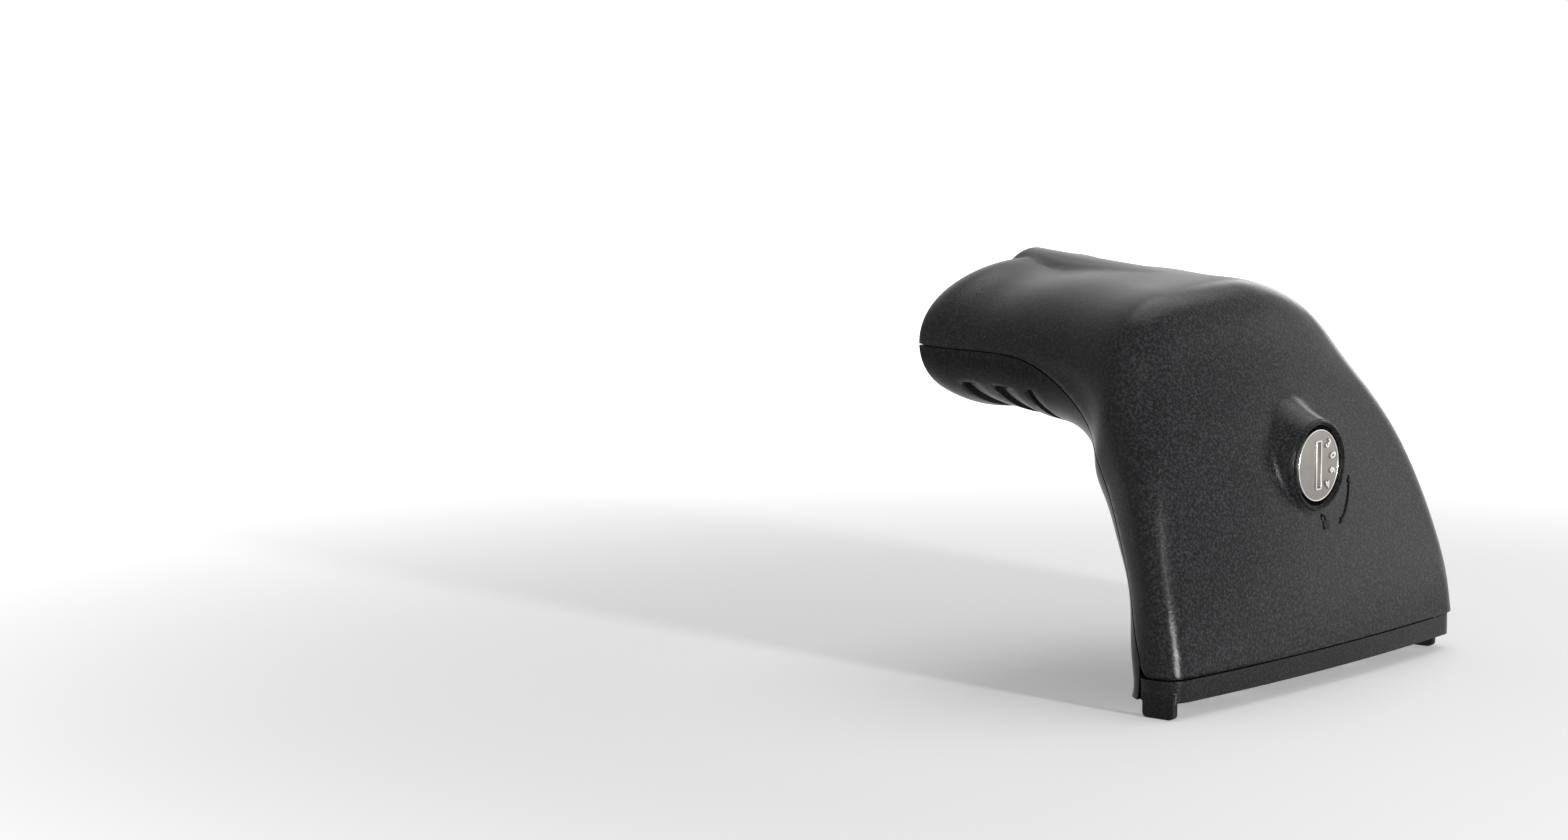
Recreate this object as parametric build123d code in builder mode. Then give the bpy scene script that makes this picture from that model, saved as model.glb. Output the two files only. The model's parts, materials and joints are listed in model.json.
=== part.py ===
from build123d import *
import os
from math import tan, radians

os.makedirs("parts", exist_ok=True)

# Roof bar foot, in mm. The origin is the middle of the base on the roof, +X points outboard,
# -X along the bar, +Y to the trailing edge of the bar and +Z up.

# Outer form
reach = 78.2              # base centre to the mouth of the sleeve
sleeve_top = 91.8         # top of the sleeve at its mouth, beside the hump
sleeve_height = 33.9
sleeve_lead = 45.5        # middle to leading edge of the sleeve
sleeve_trail = 45.0       # middle to trailing edge
base_flare = 2.0          # how far the trailing end of the cover stands out over the shoe
base_length = 122.0
base_depth = 20.2
ridge_x = -19.5           # ridge between the top and the outer face
ridge_z = 89.3
elbow_x = -35.5           # inside of the elbow
elbow_z = 50.0
wall = 2.6                # moulded shells
part_gap = 0.4            # visible gap between cover, under shell and shoe

# Ribs inside the cover
rib_height = 4.0
rib_thickness = 2.0
rib_y = 32.0
rib_bottom = 30.0
rib_back = -20.0
rib_seam_gap = 6.0
rib_root = 0.3            # how far the ribs reach into the cover's wall

# Hump over the strip on top of the bar
hump_half_mouth = 10.0
hump_half_end = 14.0
hump_rise = 2.5
hump_length = 45.0
hump_end_rise = 0.9
hump_foot = 0.6           # how far its sides start below the top
hump_depth = 12.0

# Seam between cover and under shell
seam_mouth_z = 75.2
seam_nose_z = 73.4
seam_corner_radius = 3.5
band_height = 5.0
band_inset = 0.6
band_wall = 2.2
band_split_x = -3.0       # where the shoe's band meets the under shell

# Grip steps under the nose
step_pitch = 10.2
step_first = 9.7
step_length = 7.5         # each step fades out over this length
step_depth = 1.0
step_count = 3
step_top = 66.0
step_fade = 0.1

# Leg casting
casting_gap = 0.8         # casting to the inside of the shells
cheek_inner = 17.5
cheek_thickness = 7.0
web_thickness = 4.5
plate_bottom = 3.2
plate_thickness = 5.0
bulkhead_thickness = 7.0
stop_thickness = 4.0
stop_drop = 1.5           # how far the bar stop reaches below the tongue
sleeve_depth = 36.0       # how far the bar goes in
tongue_half_width = 28.0
tongue_height = 21.0
tongue_corner = 9.0
tongue_setback = 6.0
bolt_spacing = 76.0
bolt_hole_radius = 3.4
spotface_radius = 6.2
gusset_length = 7.5
gusset_height = 18.0
gusset_thickness = 6.0

# Shoe and pad
floor_thickness = 1.6
floor_gap = 0.6           # floor to the inside of the cover
pad_thickness = 1.6
pad_half_length = 54.5
lug_thickness = 1.8
lug_width = 8.5
lug_places = ((-2.0, -60.4), (-5.5, 56.0))
lug_height = 3.6
lug_corner = 1.2
bolt_clearance = 1.2

# Bar clamp
tongue_z = 74.9
clamp_thread_radius = 3.0
clamp_pitch = 1.0
clamp_turns = 5.0
clamp_head_radius = 5.0
clamp_head_height = 6.0
clamp_socket = 5.0
clamp_shoe_chamfer = 0.8
washer_radius = 8.0
washer_thickness = 1.6
wedge_angle = 12.0
wedge_length = 15.0
wedge_half_width = 7.8
wedge_rise = 4.6          # screw axis to the top of the wedge
wedge_drop = 4.0          # screw axis to the slope at the outboard end
slide_gap = 0.2

# Lock
lock_y = 1.0
lock_z = 47.9
lock_face_x = 4.8
lock_head_radius = 8.6
lock_head_thickness = 2.2
lock_rim_radius = 9.6
boss_outer_radius = 12.4
boss_flare = [(5.0, 10.9), (2.0, 12.2), (-1.0, 13.8), (-4.0, 15.9), (-8.0, 19.5)]
boss_depth = 4.8          # inner end of the boss, behind the base centre
housing_flange = 1.0
housing_radius = 8.5
housing_length = 12.4
plug_radius = 6.2
running_gap = 0.05
cam_thickness = 2.0
cam_length = 15.0
cam_half_width = 4.0
cam_screw_radius = 1.5
cam_screw_head = 3.4
cam_screw_end_gap = 0.5
catch_thickness = 2.0
catch_gap = 0.4
catch_corner = 2.5
catch_clearance = 0.7     # catch plate to the lock housing
catch_half_height = 10.0
key_slot_width = 2.0
key_slot_height = 10.6
key_recess = 1.2          # depth of the slot's wide mouth, and how much taller it is
wafer_slot_gap = 0.2
wafer_slot_drop = 2.0
wafer_count = 5
wafer_thickness = 1.0
wafer_pitch = 1.8
wafer_first = 1.5
wafer_half_width = 3.0
wafer_half_height = 5.1

clip_thickness = 0.8
clip_groove_radius = 7.8
clip_outer_radius = 10.5
plug_proud = 0.4
cam_screw_depth = 2.0
catch_screw_z = 6.0
bumper_thickness = 2.0
tongue_tip = 3.5
casting_front_gap = 4.0
spotface_depth = 0.6

edge_round = 0.5

# Small screws
shell_screw_length = 9.0
shoe_screw_length = 4.2
small_screw_length = 9.0
small_screw_radius = 1.6
small_head_radius = 2.9
small_head_height = 1.5
shell_screw_z = 20.0
screw_boss_wall = 0.6
screw_boss_length = 3.4
screw_head_sink = 2.4
screw_end_gap = 0.3
shoe_screw_y = (24.0, 50.0)

# Worked out from the sizes above
base_half = base_length / 2
outer_x = base_depth / 2
inner_x = -base_depth / 2
mouth_x = -reach
sleeve_bottom = sleeve_top - sleeve_height
stop_x = mouth_x + sleeve_depth
tongue_end = mouth_x + tongue_setback
cheek_outer = cheek_inner + cheek_thickness
plate_top = plate_bottom + plate_thickness
cheek_mid = (cheek_inner + cheek_outer) / 2

# Outline of the base on the roof, in the same order as the sections below
base_row = (outer_x, 0.0, inner_x, 0.0, base_half, base_half, 2.4, 2.4, 1.0)

# Sections of the outer form, evenly spaced from the mouth round the elbow to the base. Each one
# has its outer and inner middle points (x, z), its half widths to the leading and the trailing
# edge, the drop of its crown on both sides, and its squareness, from 0 at the mouth to 1.
sections = [
    (mouth_x, sleeve_top, mouth_x, sleeve_bottom, sleeve_lead, sleeve_trail, 0.4, 0.4, 0.0),
    (mouth_x + 11.1, sleeve_top - 0.4, mouth_x + 10.1, sleeve_bottom - 0.8,
     sleeve_lead + 0.1, sleeve_trail - 0.5, 0.5, 0.5, 0.03),
    (mouth_x + 22.9, sleeve_top - 0.8, mouth_x + 19.5, sleeve_bottom - 1.6,
     sleeve_lead + 0.1, sleeve_trail - 1.1, 0.5, 0.6, 0.07),
    (mouth_x + 35.5, sleeve_top - 0.9, mouth_x + 28.0, sleeve_bottom - 2.8,
     sleeve_lead + 0.3, sleeve_trail - 1.7, 0.6, 1.0, 0.13),
    (ridge_x - 10.1, ridge_z + 1.2, elbow_x - 7.0, elbow_z + 3.7,
     sleeve_lead + 0.9, sleeve_trail - 2.2, 0.8, 2.2, 0.22),
    (ridge_x + 1.3, ridge_z - 0.1, elbow_x + 1.3, elbow_z - 0.9,
     sleeve_lead + 2.8, sleeve_trail - 2.8, 1.3, 3.6, 0.38),
    (outer_x - 20.5, 77.6, inner_x - 19.7, 41.8, base_half - 9.9, base_half - 15.3, 3.1, 3.3, 0.57),
    (outer_x - 14.6, 64.9, inner_x - 14.6, 36.3, base_half - 8.0, base_half - 10.8, 4.2, 2.9, 0.70),
    (outer_x - 9.8, 51.9, inner_x - 9.9, 30.3, base_half - 6.0, base_half - 6.7, 4.7, 2.5, 0.81),
    (outer_x - 6.2, 38.6, inner_x - 5.9, 24.1, base_half - 4.4, base_half - 3.4, 4.7, 2.1, 0.87),
    (outer_x - 3.4, 25.4, inner_x - 3.2, 16.7, base_half - 2.8, base_half - 1.0, 4.1, 1.8, 0.93),
    (outer_x - 1.4, 12.5, inner_x - 1.6, 8.5, base_half - 1.4, base_half + 0.7, 3.2, 1.9, 0.97),
    (outer_x, 0.0, inner_x, 0.0, base_half, base_half + base_flare, 2.4, 2.4, 1.0),
]


def blend(start, end, share):
    return start + (end - start) * share


def between(start, end, share):
    return (blend(start[0], end[0], share), blend(start[1], end[1], share))


def section_up(row):
    """Direction from the inner to the outer middle point of a section."""
    return (Vector(row[0], 0, row[1]) - Vector(row[2], 0, row[3])).normalized()


def section_depth(row):
    return (Vector(row[0], 0, row[1]) - Vector(row[2], 0, row[3])).length


def half_outline(half, depth, side, flat, drop, inner_flat, handle, inner_handle):
    """Control points of four curves from the outer middle round one side to the inner middle."""
    inner_drop = 0.6
    flat_end = flat * half
    inner_end = inner_flat * half
    top = (flat_end, depth - drop)
    edge = (half, side * depth)
    foot = (inner_end, inner_drop)
    shoulder = (half, depth - drop - 2 * drop * (half - flat_end) / flat_end)
    heel = (half, inner_drop + 2 * inner_drop * (half - inner_end) / inner_end)
    return [
        [(0, depth), (flat_end / 2, depth), top],
        [top, between(top, shoulder, handle), between(edge, shoulder, handle), edge],
        [edge, between(edge, heel, inner_handle), between(foot, heel, inner_handle), foot],
        [foot, (inner_end / 2, 0), (0, 0)],
    ]


def section_face(row, inset):
    """One closed section of the outer form, moved inwards by inset."""
    lead, trail, drop_lead, drop_trail, square = row[4:]
    up = section_up(row)
    depth = section_depth(row) - 2 * inset
    inner_flat = blend(0.36, 0.83, square ** 1.5)
    inner_handle = blend(0.60, 0.55, square)
    lead_side = half_outline(lead - inset, depth, blend(0.51, 0.54, square), blend(0.30, 0.91, square),
                             drop_lead, inner_flat, blend(0.60, 0.66, square), inner_handle)
    trail_side = half_outline(trail - inset, depth, blend(0.42, 0.54, square), blend(0.22, 0.91, square),
                              drop_trail, inner_flat, blend(0.50, 0.66, square), inner_handle)
    turned = [[(-y, z) for y, z in reversed(points)] for points in reversed(lead_side)]
    origin = Vector(row[2], 0, row[3]) + up * inset
    plane = Plane(origin=origin, x_dir=(0, 1, 0), z_dir=Vector(0, 1, 0).cross(up))
    return Face(Wire([plane * Bezier(*points) for points in trail_side + turned]))


def upright_face(x, inset):
    """A section of the sleeve at right angles to the bar, blended from its neighbours."""
    after = next(i for i, row in enumerate(sections) if row[2] > x)
    start, end = sections[after - 1], sections[after]
    share = (x - start[2]) / (end[2] - start[2])
    top_start = next(i for i, row in enumerate(sections) if row[0] > x) - 1
    top_share = (x - sections[top_start][0]) / (sections[top_start + 1][0] - sections[top_start][0])
    top = blend(sections[top_start][1], sections[top_start + 1][1], top_share)
    row = [x, top, x] + [blend(start[i], end[i], share) for i in range(3, 9)]
    return section_face(row, inset)


def form(inset):
    """The outer form as a solid, moved inwards by inset."""
    with BuildPart() as solid:
        loft(sections=[section_face(row, inset) for row in sections], clean=False)
    return solid.part


def base_slab(inset, bottom, height):
    """A plate with the outline of the base, moved inwards by inset."""
    with BuildPart() as slab:
        extrude(to_extrude=section_face(base_row, inset), amount=height, dir=(0, 0, 1))
    return slab.part.moved(Location((0, 0, bottom)))


def block(x_from, x_to, y_from, y_to, z_from, z_to):
    with BuildPart() as solid:
        with BuildSketch(Plane.XY.offset(z_from)):
            with Locations(((x_from + x_to) / 2, (y_from + y_to) / 2)):
                Rectangle(x_to - x_from, y_to - y_from)
        extrude(amount=z_to - z_from)
    return solid.part


def rod(x_from, x_to, y, z, radius):
    """A round bar along X."""
    with BuildPart() as solid:
        with BuildSketch(Plane.YZ.offset(x_from)):
            with Locations((y, z)):
                Circle(radius)
        extrude(amount=x_to - x_from)
    return solid.part


def post(x, y, z_from, z_to, radius):
    """A round bar along Z."""
    with BuildPart() as solid:
        with BuildSketch(Plane.XY.offset(z_from)):
            with Locations((x, y)):
                Circle(radius)
        extrude(amount=z_to - z_from)
    return solid.part


def hump_solid(inset):
    """The raised strip along the top, from the mouth to where it dies out."""
    end_x = mouth_x + hump_length
    with BuildPart() as solid:
        for x, half, foot, crest in (
            (mouth_x, hump_half_mouth, sleeve_top - hump_foot, sleeve_top + hump_rise),
            (end_x, hump_half_end, ridge_z - hump_foot, ridge_z + hump_end_rise),
        ):
            with BuildSketch(Plane.YZ.offset(x)):
                with BuildLine():
                    left = (-half + inset, foot - inset)
                    right = (half - inset, foot - inset)
                    ThreePointArc(left, (0, crest - inset), right)
                    low = foot - hump_depth
                    Polyline(right, (half - inset, low), (-half + inset, low), left)
                make_face()
        loft()
    return solid.part


def seam_points(shift):
    """Seam between cover and under shell, from the mouth to just above the shoe."""
    step = shift * 0.707
    points = [
        (mouth_x - 5, seam_mouth_z + 0.3),
        (mouth_x + 18, seam_mouth_z - 0.8),
        (mouth_x + 32, seam_nose_z - 0.4),
        (elbow_x + 9.5, elbow_z + 6.9),
        (inner_x - 4.6, 37.4),
        (inner_x + 3.1, 17.5),
        (band_split_x - 0.4, band_height + part_gap + seam_corner_radius),
    ]
    return [(x - step, z - step) for x, z in points]


far = 140.0
outer_form = form(0)
inner_form = form(wall)
casting_form = form(wall + casting_gap)

# What the under shell and the shoe take away from the cover
with BuildPart() as below_seam:
    cover_seam = seam_points(0)
    with BuildSketch(Plane.XZ) as below_sketch:
        with BuildLine():
            cover_edge = Spline(*cover_seam)
            corner_start = cover_seam[-1]
            corner_end = (corner_start[0] + seam_corner_radius, band_height + part_gap)
            RadiusArc(corner_start, corner_end, -seam_corner_radius)
            Polyline(corner_end, (far, corner_end[1]), (far, -far), (cover_seam[0][0], -far), cover_seam[0])
        make_face()
    extrude(amount=far, both=True)

# What the cover and the shoe take away from the under shell
with BuildPart() as above_seam:
    shell_seam = seam_points(part_gap)
    with BuildSketch(Plane.XZ) as above_sketch:
        with BuildLine():
            Spline(*shell_seam)
            start = shell_seam[-1]
            Polyline(start, (start[0], -far), (far, -far), (far, far), (shell_seam[0][0], far), shell_seam[0])
        make_face()
    extrude(amount=far, both=True)

# Stiffening ribs inside the cover
with BuildPart() as cover_ribs:
    add(form(wall - rib_root), clean=False)
    add(form(wall + rib_height), mode=Mode.SUBTRACT, clean=False)
    add(block(-far, far, -far, far, -1, rib_bottom), mode=Mode.SUBTRACT)
    add(below_seam.part.moved(Location((rib_seam_gap, 0, rib_seam_gap))), mode=Mode.SUBTRACT)
    add(block(-far, rib_back, -far, far, -1, far), mode=Mode.SUBTRACT)
    add(block(-far, far, -rib_y + rib_thickness / 2, rib_y - rib_thickness / 2, -1, far), mode=Mode.SUBTRACT)
    for side in (-1, 1):
        rib_out = side * (rib_y + rib_thickness / 2)
        y_low = min(rib_out, side * far)
        add(block(-far, far, y_low, y_low + far - abs(rib_out), -1, far), mode=Mode.SUBTRACT)

# Cover, with the lock's boss
flange_back = lock_face_x - lock_head_thickness - housing_flange - slide_gap
with BuildPart() as cover:
    add(outer_form, clean=False)
    add(hump_solid(0))
    with BuildSketch(Plane.XZ.offset(-lock_y)):
        with BuildLine():
            flare = [(x, lock_z + radius) for x, radius in boss_flare]
            Spline(*flare)
            Polyline(flare[-1], (flare[-1][0], lock_z), (flare[0][0], lock_z), flare[0])
        make_face()
    revolve(axis=Axis((0, lock_y, lock_z), (1, 0, 0)))
    add(inner_form, mode=Mode.SUBTRACT, clean=False)
    add(hump_solid(wall), mode=Mode.SUBTRACT)
    add(rod(-boss_depth, 0.5, lock_y, lock_z, boss_outer_radius))
    add(cover_ribs.part, clean=False)
    add(below_seam.part, mode=Mode.SUBTRACT)
    add(rod(flange_back, far, lock_y, lock_z, lock_rim_radius), mode=Mode.SUBTRACT)
    add(rod(-far, far, lock_y, lock_z, housing_radius + running_gap), mode=Mode.SUBTRACT)
print("cover", cover.part.volume, len(cover.part.solids()), cover.part.is_valid)
cover.part.label = "cover"
export_step(cover.part, "parts/cover.step")

# Under shell, with grip steps under the nose and two screw bosses
seat_x = inner_x + 1.0
head_seat_x = seat_x - screw_head_sink
boss_radius = small_head_radius + screw_boss_wall
step_cuts = []
for i in range(step_count):
    step_x = mouth_x + step_first + i * step_pitch
    with BuildPart() as step_core:
        deep_face = upright_face(step_x, step_depth)
        shallow_face = upright_face(step_x + step_length, -step_fade)
        loft(sections=[deep_face, shallow_face], clean=False)
    with BuildPart() as step_cut:
        add(block(step_x, step_x + step_length, -far, far, -1, step_top))
        add(step_core.part, mode=Mode.SUBTRACT)
    step_cuts.append(step_cut.part)
with BuildPart() as under_shell:
    add(outer_form, clean=False)
    for cut in step_cuts:
        add(cut, mode=Mode.SUBTRACT)
    add(inner_form, mode=Mode.SUBTRACT, clean=False)
    add(above_seam.part, mode=Mode.SUBTRACT)
    for side in (-1, 1):
        add(rod(seat_x - screw_boss_length, seat_x, side * cheek_mid, shell_screw_z, boss_radius))
    for side in (-1, 1):
        head_hole = rod(-far, head_seat_x, side * cheek_mid, shell_screw_z, small_head_radius + slide_gap)
        shank_hole = rod(-far, seat_x + 1, side * cheek_mid, shell_screw_z, small_screw_radius + slide_gap)
        add(head_hole, mode=Mode.SUBTRACT)
        add(shank_hole, mode=Mode.SUBTRACT)
print("under_shell", under_shell.part.volume, len(under_shell.part.solids()), under_shell.part.is_valid)
under_shell.part.label = "under_shell"
export_step(under_shell.part, "parts/under_shell.step")

# Shoe: the band round the outboard side of the base, its floor and two locating lugs
floor_inset = wall + floor_gap
bolt_y = bolt_spacing / 2
with BuildPart() as base_shoe:
    add(base_slab(band_inset, 0, band_height))
    add(base_slab(band_inset + band_wall, -1, band_height + 2), mode=Mode.SUBTRACT)
    add(block(-far, band_split_x, -far, far, -far, far), mode=Mode.SUBTRACT)
    add(base_slab(floor_inset, pad_thickness, floor_thickness))
    add(base_slab(band_inset + 1, pad_thickness, floor_thickness)
        - block(-far, band_split_x + 0.5, -far, far, -far, far))
    for x, y in lug_places:
        add(block(x, x + lug_width, y, y + lug_thickness, -lug_height, pad_thickness + 0.5))
    lug_edges = base_shoe.edges().filter_by(Axis.Y).group_by(Axis.Z)[0]
    fillet(lug_edges, lug_corner)
    for side in (-1, 1):
        add(post(0, side * bolt_y, -1, plate_bottom + 1, bolt_hole_radius + bolt_clearance),
            mode=Mode.SUBTRACT)
        for y in shoe_screw_y:
            add(post(0, side * y, -1, plate_bottom + 1, small_screw_radius + slide_gap), mode=Mode.SUBTRACT)
print("base_shoe", base_shoe.part.volume, len(base_shoe.part.solids()), base_shoe.part.is_valid)
base_shoe.part.label = "base_shoe"
export_step(base_shoe.part, "parts/base_shoe.step")

# Rubber pad under the shoe's floor
with BuildPart() as roof_pad:
    add(base_slab(floor_inset, 0, pad_thickness))
    add(block(-far, far, pad_half_length, far, -1, far), mode=Mode.SUBTRACT)
    add(block(-far, far, -far, -pad_half_length, -1, far), mode=Mode.SUBTRACT)
    for side in (-1, 1):
        add(post(0, side * bolt_y, -1, far, bolt_hole_radius + bolt_clearance), mode=Mode.SUBTRACT)
        for y in shoe_screw_y:
            add(post(0, side * y, -1, far, small_head_radius + slide_gap), mode=Mode.SUBTRACT)
print("roof_pad", roof_pad.part.volume, len(roof_pad.part.solids()), roof_pad.part.is_valid)
roof_pad.part.label = "roof_pad"
export_step(roof_pad.part, "parts/roof_pad.step")

# Leg casting: base plate, open channel with two cheeks, bulkhead, bar stop and tongue
stop_face = stop_x + bumper_thickness
stop_front = stop_face + stop_thickness
bulkhead_front = stop_front + bulkhead_thickness
pocket_start = tongue_end + tongue_tip
pocket_length = wedge_length + clamp_turns * clamp_pitch + 1.0
tongue_bottom = tongue_z - tongue_height / 2
plug_back = flange_back - housing_length - plug_proud
catch_back = plug_back + catch_gap
catch_front = catch_back + catch_thickness
back_points = []
web_points = []
front_points = []
for row in sections[4:]:
    up = section_up(row)
    inner_point = Vector(row[2], 0, row[3])
    outer_point = Vector(row[0], 0, row[1])
    back_point = inner_point + up * (wall + casting_gap)
    web_point = back_point + up * web_thickness
    front_point = outer_point - up * (wall + casting_front_gap)
    back_points.append((back_point.X, back_point.Z))
    web_points.append((web_point.X, web_point.Z))
    front_points.append((front_point.X, front_point.Z))

with BuildPart() as outside_casting:
    add(block(-far, far, -far, far, band_height, far))
    add(casting_form, mode=Mode.SUBTRACT, clean=False)

with BuildPart() as bar_stop:
    add(casting_form, clean=False)
    add(block(-far, stop_face, -far, far, -1, far), mode=Mode.SUBTRACT)
    add(block(stop_front, far, -far, far, -1, far), mode=Mode.SUBTRACT)
    add(block(-far, far, -far, far, -1, tongue_bottom - stop_drop), mode=Mode.SUBTRACT)

with BuildPart() as channel:
    with BuildSketch(Plane.XZ) as channel_sketch:
        with BuildLine():
            Spline(*web_points[1:])
            Polyline(web_points[-1], (far, 0), (far, far), (bulkhead_front, far),
                     (bulkhead_front, web_points[1][1] + 2), web_points[1])
        make_face()
    extrude(amount=cheek_inner, both=True)
    add(block(-far, far, -far, far, -1, plate_top), mode=Mode.SUBTRACT)

with BuildPart() as leg_casting:
    with BuildSketch(Plane.XZ) as column_sketch:
        with BuildLine():
            Spline(*back_points)
            Spline(*front_points)
            Line(back_points[0], front_points[0])
            Line(back_points[-1], front_points[-1])
        make_face()
    extrude(amount=cheek_outer, both=True)
    add(channel.part, mode=Mode.SUBTRACT)
    add(block(-far, far, -far, far, -1, plate_top - 0.5), mode=Mode.SUBTRACT)
    with BuildSketch(Plane.YZ.offset(-gusset_thickness / 2)):
        with BuildLine():
            low = plate_top - 1
            Polyline((cheek_outer - 1, low), (cheek_outer + gusset_length, low),
                     (cheek_outer + gusset_length, plate_top), (cheek_outer, plate_top + gusset_height),
                     (cheek_outer - 1, plate_top + gusset_height), close=True)
        make_face()
        mirror(about=Plane.YZ)
    extrude(amount=gusset_thickness)
    add(base_slab(wall + casting_gap, plate_bottom, plate_thickness))
    add(bar_stop.part, clean=False)
    with BuildSketch(Plane.YZ.offset(tongue_end)):
        with Locations((0, tongue_z)):
            RectangleRounded(2 * tongue_half_width, tongue_height, tongue_corner)
    extrude(amount=stop_front - tongue_end)
    add(outside_casting.part, mode=Mode.SUBTRACT)
    pocket_top = tongue_z + wedge_rise + slide_gap
    pocket_half = wedge_half_width + slide_gap
    add(block(pocket_start, pocket_start + pocket_length, -pocket_half, pocket_half,
              tongue_bottom - 3, pocket_top), mode=Mode.SUBTRACT)
    add(rod(pocket_start + 1, far, 0, tongue_z, clamp_thread_radius + slide_gap), mode=Mode.SUBTRACT)
    add(block(catch_back, far, cheek_inner - 1, cheek_outer + 1,
              lock_z - catch_half_height - 0.5, lock_z + catch_half_height + 0.5), mode=Mode.SUBTRACT)
    for side in (-1, 1):
        add(post(0, side * bolt_y, -1, plate_top + 1, bolt_hole_radius), mode=Mode.SUBTRACT)
        add(post(0, side * bolt_y, plate_top - spotface_depth, plate_top + 4, spotface_radius),
            mode=Mode.SUBTRACT)
        add(rod(-far, seat_x, side * cheek_mid, shell_screw_z, boss_radius + slide_gap), mode=Mode.SUBTRACT)
        add(rod(seat_x - 1, seat_x + shell_screw_length, side * cheek_mid, shell_screw_z,
                small_screw_radius + running_gap), mode=Mode.SUBTRACT)
        add(rod(catch_back - small_screw_length, catch_back + 1, cheek_mid, lock_z + side * catch_screw_z,
                small_screw_radius + running_gap), mode=Mode.SUBTRACT)
        for y in shoe_screw_y:
            add(post(0, side * y, plate_bottom - 1, plate_bottom + shoe_screw_length,
                     small_screw_radius + running_gap), mode=Mode.SUBTRACT)
print("leg_casting", leg_casting.part.volume, len(leg_casting.part.solids()), leg_casting.part.is_valid)
leg_casting.part.label = "leg_casting"
export_step(leg_casting.part, "parts/leg_casting.step")

# Rubber bumper between the bar's end and the bar stop
with BuildPart() as bar_bumper:
    add(form(wall + casting_gap), clean=False)
    add(block(-far, stop_x, -far, far, -1, far), mode=Mode.SUBTRACT)
    add(block(stop_face, far, -far, far, -1, far), mode=Mode.SUBTRACT)
    add(block(-far, far, -far, far, -1, tongue_bottom - stop_drop), mode=Mode.SUBTRACT)
    with BuildSketch(Plane.YZ.offset(stop_x - 1)):
        with Locations((0, tongue_z)):
            RectangleRounded(2 * tongue_half_width + 2 * slide_gap, tongue_height + 2 * slide_gap,
                             tongue_corner + slide_gap)
    extrude(amount=bumper_thickness + 2, mode=Mode.SUBTRACT)
bar_bumper.part.label = "bar_bumper"
export_step(bar_bumper.part, "parts/bar_bumper.step")

# Clamp: screw, washer, wedge and shoe in the tongue
wedge_start = pocket_start + slide_gap
wedge_end = wedge_start + wedge_length
slope = tan(radians(wedge_angle))
wedge_top = tongue_z + wedge_rise
with BuildPart() as clamp_wedge:
    with BuildSketch(Plane.XZ):
        with BuildLine():
            low_end = tongue_z - wedge_drop
            Polyline((wedge_start, low_end - slope * wedge_length), (wedge_end, low_end),
                     (wedge_end, wedge_top), (wedge_start, wedge_top), close=True)
        make_face()
    extrude(amount=wedge_half_width, both=True)
    add(rod(-far, far, 0, tongue_z, clamp_thread_radius + running_gap), mode=Mode.SUBTRACT)
clamp_wedge.part.label = "clamp_wedge"
export_step(clamp_wedge.part, "parts/clamp_wedge.step")

shoe_end = pocket_start + pocket_length - slide_gap
with BuildPart() as clamp_shoe:
    with BuildSketch(Plane.XZ):
        with BuildLine():
            low_start = tongue_z - wedge_drop - slope * wedge_length - running_gap
            Polyline((wedge_start, tongue_bottom), (shoe_end, tongue_bottom),
                     (shoe_end, low_start + slope * (shoe_end - wedge_start)), (wedge_start, low_start),
                     close=True)
        make_face()
    extrude(amount=wedge_half_width, both=True)
    add(rod(-far, far, 0, tongue_z, clamp_thread_radius + slide_gap), mode=Mode.SUBTRACT)
    shoe_edges = clamp_shoe.edges().filter_by(Axis.X).group_by(Axis.Z)[0]
    chamfer(shoe_edges, clamp_shoe_chamfer)
clamp_shoe.part.label = "clamp_shoe"
export_step(clamp_shoe.part, "parts/clamp_shoe.step")

with BuildPart() as clamp_washer:
    with BuildSketch(Plane.YZ.offset(bulkhead_front)):
        with Locations((0, tongue_z)):
            Circle(washer_radius)
            Circle(clamp_thread_radius + slide_gap, mode=Mode.SUBTRACT)
    extrude(amount=washer_thickness)
clamp_washer.part.label = "clamp_washer"
export_step(clamp_washer.part, "parts/clamp_washer.step")

head_start = bulkhead_front + washer_thickness
with BuildPart() as clamp_screw:
    add(rod(wedge_start + 0.5, head_start, 0, tongue_z, clamp_thread_radius))
    add(rod(head_start, head_start + clamp_head_height, 0, tongue_z, clamp_head_radius))
    chamfer(clamp_screw.faces().sort_by(Axis.X)[-1].edges(), edge_round)
    with BuildSketch(Plane.YZ.offset(head_start + clamp_head_height)):
        with Locations((0, tongue_z)):
            RegularPolygon(clamp_socket / 2, 6, major_radius=False)
    extrude(amount=-clamp_head_height / 2, mode=Mode.SUBTRACT)
clamp_screw.part.label = "clamp_screw"
export_step(clamp_screw.part, "parts/clamp_screw.step")

# Lock: housing in the cover's boss, plug that turns in it, wafers, cam, cam screw and clip
flange_front = flange_back + housing_flange
housing_back = flange_back - housing_length
head_back = lock_face_x - lock_head_thickness
with BuildPart() as lock_housing:
    add(rod(housing_back, flange_back, lock_y, lock_z, housing_radius))
    add(rod(flange_back, flange_front, lock_y, lock_z, lock_rim_radius - running_gap))
    with BuildSketch(Plane.YZ.offset(-boss_depth - clip_thickness - 2 * running_gap)):
        with Locations((lock_y, lock_z)):
            Circle(housing_radius + 1)
            Circle(clip_groove_radius, mode=Mode.SUBTRACT)
    extrude(amount=clip_thickness + 2 * running_gap, mode=Mode.SUBTRACT)
    add(rod(-far, far, lock_y, lock_z, plug_radius + running_gap), mode=Mode.SUBTRACT)
lock_housing.part.label = "lock_housing"
export_step(lock_housing.part, "parts/lock_housing.step")

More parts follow.
